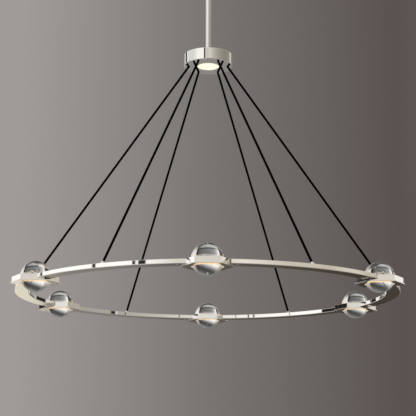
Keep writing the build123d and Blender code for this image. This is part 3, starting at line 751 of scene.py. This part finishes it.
def fadeFloor():
    tree = floorLook.node_tree
    add, link = tree.nodes.new, tree.links.new
    fade, facing = add("ShaderNodeMapRange"), add("ShaderNodeNewGeometry")
    fade.interpolation_type = "SMOOTHSTEP"
    fade.inputs["From Min"].default_value = ground["fadeFrom"]
    fade.inputs["From Max"].default_value = ground["fadeTo"]
    clear, choose = add("ShaderNodeBsdfTransparent"), add("ShaderNodeMixShader")
    link(axisDistance(tree, "Object"), fade.inputs["Value"])
    unseen = mathNode(tree, "MAXIMUM", fade.outputs["Result"], facing.outputs["Backfacing"])
    link(unseen, choose.inputs["Fac"])
    link(tree.nodes["Principled BSDF"].outputs[0], choose.inputs[1])
    link(clear.outputs[0], choose.inputs[2])
    link(choose.outputs[0], tree.nodes["Material Output"].inputs["Surface"])


fadeFloor()
floor.visible_glossy = floor.visible_transmission = False
scene.collection.objects.link(floor)

# Light: two soft boxes aimed at the middle of the object
softBoxes = {
    "leftBox": {"spot": (-3.6, -3.4, 0.2), "size": (3.2, 3.0), "power": 27.0, "colour": (1.0, 0.98, 0.95)},
    "rightBox": {"spot": (3.4, -3.8, 0.0), "size": (2.4, 2.6), "power": 10.0, "colour": (1.0, 0.95, 0.84)},
}
boxAim = Vector((0, 0, -0.9))
for name, box in softBoxes.items():
    softLight = bpy.data.lights.new(name, "AREA")
    softLight.shape = "RECTANGLE"
    softLight.size, softLight.size_y = box["size"]
    softLight.energy = box["power"]
    softLight.color = box["colour"]
    stand = bpy.data.objects.new(name, softLight)
    stand.location = box["spot"]
    stand.rotation_euler = (boxAim - Vector(box["spot"])).to_track_quat("-Z", "Y").to_euler()
    stand.visible_glossy = stand.visible_transmission = False
    scene.collection.objects.link(stand)

# World: soft light for the object, a backdrop for the camera with painted shade, plain above and below, and
# painted reflections and refractions, laid out as a room, that only metal and glass show
# near-black of the painted dark bands in the reflections and refractions
dusk = (0.02, 0.018, 0.016)
paintedSurround = {
    # the backdrop carries painted shade: light to the left, darkest just right of the middle
    "backdrop": [(-1.0, (0.36, 0.34, 0.325)), (-0.163, (0.352, 0.328, 0.314)), (0.0, (0.192, 0.178, 0.168)),
                 (0.162, (0.102, 0.086, 0.081)), (0.55, (0.26, 0.245, 0.235)), (1.0, (0.36, 0.34, 0.325))],
    "wall": [(-1.0, (1.25, 1.24, 1.22)), (-0.64, (1.20, 1.19, 1.16)), (-0.62, dusk), (-0.52, dusk),
             (-0.50, (1.15, 1.14, 1.11)), (-0.42, (1.0, 0.98, 0.95)), (-0.36, (0.55, 0.53, 0.51)),
             (-0.22, (0.40, 0.37, 0.355)), (-0.163, (0.352, 0.328, 0.314)), (0.0, (0.192, 0.178, 0.168)),
             (0.162, (0.102, 0.086, 0.081)), (0.24, (0.16, 0.15, 0.14)), (0.36, (0.34, 0.33, 0.31)),
             (0.40, (0.40, 0.39, 0.36)), (0.405, dusk), (0.425, dusk), (0.44, (1.0, 0.99, 0.96)),
             (0.85, (1.05, 1.04, 1.0)), (0.90, (0.60, 0.58, 0.51))],
    "skirting": [(-0.75, dusk), (-0.72, (1.15, 1.14, 1.11)), (-0.64, (1.10, 1.09, 1.06)), (-0.62, dusk),
                 (-0.52, dusk), (-0.50, (1.15, 1.14, 1.11)), (-0.36, (0.80, 0.79, 0.77)),
                 (0.0, (0.66, 0.64, 0.61)), (0.30, (0.52, 0.50, 0.47)), (0.42, (0.62, 0.60, 0.57)),
                 (0.44, dusk), (0.66, dusk), (0.69, (0.85, 0.83, 0.79)), (0.88, (0.80, 0.78, 0.72)),
                 (0.94, (0.60, 0.58, 0.51))],
    "front": [(-1.0, (1.28, 1.27, 1.25)), (-0.933, (1.27, 1.26, 1.24)), (-0.931, dusk), (-0.917, dusk),
              (-0.915, (1.26, 1.25, 1.23)), (-0.685, (1.22, 1.21, 1.19)), (-0.68, dusk), (-0.662, dusk),
              (-0.655, (1.20, 1.19, 1.17)), (-0.64, (1.18, 1.17, 1.15)), (-0.635, dusk), (-0.578, dusk),
              (-0.57, (1.16, 1.15, 1.12)), (-0.30, (0.84, 0.80, 0.74)), (0.0, (0.80, 0.76, 0.715)),
              (0.195, (0.83, 0.785, 0.72)), (0.20, dusk), (0.225, dusk), (0.23, (0.88, 0.83, 0.74)),
              (0.36, (0.95, 0.91, 0.85)), (0.57, (0.82, 0.77, 0.70)), (0.72, (0.71, 0.65, 0.56)),
              (0.90, (0.70, 0.65, 0.55)), (0.96, (0.64, 0.59, 0.49)), (1.0, (0.78, 0.73, 0.65))],
    "facing": [(-1.0, (1.28, 1.27, 1.25)), (-0.548, (1.16, 1.15, 1.12)), (-0.542, dusk), (-0.532, dusk),
               (-0.526, (1.14, 1.13, 1.10)), (-0.49, (1.12, 1.11, 1.08)), (-0.485, dusk), (-0.476, dusk),
               (-0.47, (1.10, 1.09, 1.06)), (0.0, (0.88, 0.86, 0.815)), (0.30, (0.80, 0.78, 0.72)),
               (0.70, (0.58, 0.555, 0.495)), (0.905, (0.50, 0.475, 0.42)), (0.912, (0.95, 0.94, 0.90)),
               (0.918, (0.95, 0.94, 0.90)), (0.922, dusk), (0.938, dusk), (0.942, (0.48, 0.455, 0.40))],
    "side": [(-0.76, dusk), (-0.73, (1.20, 1.19, 1.17)), (0.0, (0.88, 0.865, 0.80)),
             (0.75, (0.56, 0.54, 0.47)), (1.0, (0.46, 0.44, 0.38))],
    "high": [(-1.0, (0.82, 0.82, 0.80)), (-0.95, (0.84, 0.84, 0.82)), (-0.80, (1.12, 1.12, 1.10)),
             (-0.425, (1.15, 1.15, 1.13)), (-0.355, (1.02, 1.02, 0.99)), (-0.345, dusk), (-0.255, dusk),
             (-0.245, (0.70, 0.69, 0.64)), (0.0, (0.68, 0.67, 0.61)), (0.106, (0.80, 0.79, 0.73)),
             (0.32, (0.62, 0.61, 0.54)), (0.64, (0.46, 0.45, 0.385)), (1.0, (0.30, 0.29, 0.24))],
    "wings": [(-1.0, (1.0, 0.99, 0.97)), (-0.86, (1.0, 0.99, 0.97)), (-0.83, dusk), (-0.70, dusk),
              (-0.67, (0.80, 0.79, 0.77)), (-0.40, (0.50, 0.49, 0.47)), (0.0, (0.30, 0.29, 0.28)),
              (0.40, (0.30, 0.29, 0.27)), (0.44, dusk), (0.54, dusk), (0.58, (0.75, 0.73, 0.66)),
              (1.0, (0.50, 0.48, 0.42))],
    "low": [(-0.90, dusk), (-0.80, (0.70, 0.68, 0.62)), (-0.30, (0.70, 0.68, 0.62)),
            (-0.16, (0.80, 0.76, 0.62)), (-0.142, (0.74, 0.70, 0.58)), (-0.134, (0.33, 0.31, 0.27)),
            (-0.12, (0.25, 0.235, 0.21)), (-0.06, (0.20, 0.185, 0.175)), (-0.02, (0.12, 0.11, 0.10)),
            (0.06, (0.09, 0.078, 0.06)), (0.13, (0.055, 0.045, 0.035)), (0.22, (0.08, 0.07, 0.06)),
            (0.42, (0.40, 0.38, 0.35)), (0.80, (0.46, 0.44, 0.38)), (0.88, dusk)],
    "under": [(-1.0, (0.80, 0.79, 0.76)), (-0.4, (0.45, 0.44, 0.42)), (0.0, (0.30, 0.29, 0.28)),
              (0.4, (0.26, 0.25, 0.24)), (1.0, (0.55, 0.53, 0.50))],
    "ceiling": [(-1.0, (0.95, 0.94, 0.92)), (0.0, (0.75, 0.74, 0.72)), (1.0, (0.55, 0.53, 0.49))],
}
# What the balls show: painted refractions, laid out as a pale slanting vault and side panels above, a wall, a
# dark sill and a floor below
paintedRefractions = {
    "vault": [(0.31, (1.0, 0.98, 0.95)), (0.38, (0.76, 0.74, 0.71)), (0.44, (0.46, 0.455, 0.45)),
              (0.52, (0.19, 0.19, 0.19)), (0.59, (0.075, 0.075, 0.075)), (0.65, (0.04, 0.04, 0.04)),
              (0.80, (0.07, 0.07, 0.07)), (0.98, (0.18, 0.177, 0.174))],
    "panel": [(0.34, dusk), (0.40, (0.80, 0.76, 0.70)), (0.46, (0.60, 0.54, 0.46)),
              (0.60, (0.42, 0.37, 0.32)), (0.72, (0.24, 0.22, 0.20)), (0.85, (0.17, 0.165, 0.16))],
    "glow": [(-0.63, (0.40, 0.31, 0.20)), (-0.58, (0.95, 0.93, 0.90)), (-0.45, (0.82, 0.80, 0.77)),
             (-0.25, (0.54, 0.51, 0.48)), (0.45, (0.46, 0.41, 0.37)), (0.57, (0.95, 0.92, 0.86))],
    "pane": [(-1.0, (0.45, 0.41, 0.35)), (-0.90, (0.30, 0.23, 0.15)), (-0.85, dusk), (-0.62, dusk),
             (-0.595, (0.75, 0.75, 0.74)), (-0.54, (1.0, 1.0, 0.99)), (-0.48, (0.75, 0.75, 0.74)),
             (-0.40, (0.46, 0.46, 0.455)), (-0.30, (0.31, 0.31, 0.305)), (-0.10, (0.21, 0.21, 0.207)),
             (0.40, (0.11, 0.108, 0.106)), (0.45, dusk), (0.54, dusk), (0.57, (0.85, 0.84, 0.82)),
             (1.0, (0.85, 0.82, 0.75))],
    "sill": [(-0.95, (0.40, 0.38, 0.35)), (-0.88, dusk), (-0.63, dusk), (-0.59, (0.60, 0.60, 0.59)),
             (-0.46, (0.36, 0.36, 0.355)), (-0.30, (0.06, 0.06, 0.06)), (0.54, (0.02, 0.02, 0.02)),
             (0.60, (0.75, 0.75, 0.73))],
    "ground": [(-0.66, dusk), (-0.58, (0.60, 0.60, 0.59)), (0.0, (0.46, 0.46, 0.45)),
               (0.30, (0.33, 0.33, 0.325)), (0.48, (0.12, 0.12, 0.12)), (0.56, (0.04, 0.04, 0.04)),
               (0.63, (0.60, 0.59, 0.57))],
}
# Where one zone of these painted surroundings gives way to the next, along an axis of the direction
spans = {
    "backdropFoot": ("height", -0.35, -0.10), "backdropTop": ("height", 0.42, 0.62),
    "turnBack": ("depth", -0.09, -0.07), "farWall": ("depth", 0.40, 0.55),
    "eyeLine": ("height", 0.146, 0.154), "frontTop": ("height", 0.20, 0.26),
    "wallTop": ("height", 0.22, 0.28), "ceilingLine": ("height", 0.36, 0.44),
    "floorLine": ("height", -0.30, -0.19), "horizon": ("height", -0.06, 0.0),
    "groundFoot": ("height", -0.80, -0.66), "sillFoot": ("height", -0.44, -0.39),
    "sillTop": ("height", -0.36, -0.30), "glowFoot": ("height", -0.07, -0.01),
    "glowTop": ("height", 0.02, 0.08), "paneTop": ("height", 0.30, 0.38),
    "leftPanel": ("side", -0.70, -0.58), "rightPanel": ("side", 0.62, 0.76),
}
ambient = {"colour": (1.0, 0.97, 0.93, 1), "strength": 0.35}
vaultSlope = 0.32
world = bpy.data.worlds.new("studio")
scene.world = world
world.use_nodes = True
tree = world.node_tree
tree.nodes.clear()
add, link, calc = tree.nodes.new, tree.links.new, partial(mathNode, tree)
where, parts = add("ShaderNodeTexCoord"), add("ShaderNodeSeparateXYZ")
link(where.outputs["Generated"], parts.inputs[0])
aside = calc("DIVIDE", parts.outputs["X"], axisDistance(tree, "Generated"))
along = {"side": aside, "depth": parts.outputs["Y"], "height": parts.outputs["Z"],
         "slant": calc("MULTIPLY_ADD", aside, vaultSlope, parts.outputs["Z"])}


def directionRamp(axis, stops):
    # colours along one axis of the direction
    span, ramp = add("ShaderNodeMapRange"), add("ShaderNodeValToRGB")
    span.inputs["From Min"].default_value = -1.0
    link(along[axis], span.inputs["Value"])
    link(span.outputs["Result"], ramp.inputs["Fac"])
    elements = ramp.color_ramp.elements
    for extra in stops[2:]:
        elements.new(0.5)
    for element, (x, colour) in zip(elements, stops):
        element.position = (x + 1) / 2
        element.color = (*colour, 1)
    return ramp.outputs["Color"]


def pick(factor, a, b):
    mix = add("ShaderNodeMix")
    first, second, result = mixSockets(mix)
    for source, socket in ((factor, mix.inputs["Factor"]), (a, first), (b, second)):
        link(source, socket)
    return result


def blend(name, a, b):
    # a at the start of the named span, b at its end
    axis, start, end = spans[name]
    span = add("ShaderNodeMapRange")
    span.interpolation_type = "SMOOTHSTEP"
    span.inputs["From Min"].default_value, span.inputs["From Max"].default_value = start, end
    link(along[axis], span.inputs["Value"])
    return pick(span.outputs["Result"], a, b)


axes = {"panel": "height", "vault": "slant"}
zone = {name: directionRamp(axes.get(name, "side"), stops) for name, stops in (paintedSurround | paintedRefractions).items()}
plain = add("ShaderNodeRGB").outputs[0]
plain.default_value = (*paintedSurround["backdrop"][0][1], 1)
# the camera's backdrop, plain where it looks steeply up or down, with painted shade darkening it right of the
# middle
backdrop = blend("backdropFoot", plain, blend("backdropTop", zone["backdrop"], plain))
# what the metal shows: painted reflections, with painted dark bands
beside = blend("turnBack", zone["facing"], zone["side"])
front = blend("frontTop", blend("eyeLine", beside, zone["front"]), zone["high"])
behind = blend("wallTop", blend("eyeLine", zone["skirting"], zone["wall"]), zone["wings"])
upper = blend("farWall", front, behind)
lower = blend("floorLine", zone["under"], zone["low"])
onMetal = blend("ceilingLine", blend("horizon", lower, upper), zone["ceiling"])
# what the balls show: painted refractions
ballLow = blend("groundFoot", plain, blend("sillFoot", zone["ground"], zone["sill"]))
ballMiddle = blend("glowFoot", blend("sillTop", ballLow, zone["pane"]), zone["glow"])
ballHigh = blend("leftPanel", zone["panel"], blend("rightPanel", zone["vault"], zone["panel"]))
inGlass = blend("paneTop", blend("glowTop", ballMiddle, zone["pane"]), ballHigh)
# the object's own light comes from the plain ambient; the painted reflections, refractions and backdrop are
# what is seen from the zones
output, choose = add("ShaderNodeOutputWorld"), add("ShaderNodeMixShader")
light, seen = add("ShaderNodeBackground"), add("ShaderNodeBackground")
light.inputs["Color"].default_value = ambient["colour"]
light.inputs["Strength"].default_value = ambient["strength"]
path = add("ShaderNodeLightPath")
byCamera = path.outputs["Is Camera Ray"]
byPiece = calc("MAXIMUM", path.outputs["Is Glossy Ray"], path.outputs["Is Transmission Ray"])
isSeen = calc("MAXIMUM", byCamera, byPiece)
byBall = calc("ADD", path.outputs["Transmission Depth"], path.outputs["Is Singular Ray"])
link(pick(byCamera, pick(byBall, onMetal, inGlass), backdrop), seen.inputs["Color"])
link(isSeen, choose.inputs["Fac"])
link(light.outputs[0], choose.inputs[1])
link(seen.outputs[0], choose.inputs[2])
link(choose.outputs[0], output.inputs["Surface"])

# Camera
view = {"spot": (0.0008, -3.7542, -1.7216), "lens": 102.29, "sensor": 36.0, "pitch": 12.63, "roll": 0.185}
lens = bpy.data.cameras.new("camera")
lens.lens = view["lens"]
lens.sensor_width = view["sensor"]
camera = bpy.data.objects.new("camera", lens)
camera.location = view["spot"]
camera.rotation_euler = (Matrix.Rotation(math.radians(90 + view["pitch"]), 3, "X")
                         @ Matrix.Rotation(math.radians(view["roll"]), 3, "Z")).to_euler()
scene.collection.objects.link(camera)
scene.camera = camera
print("stage ready")

bpy.context.view_layer.update()
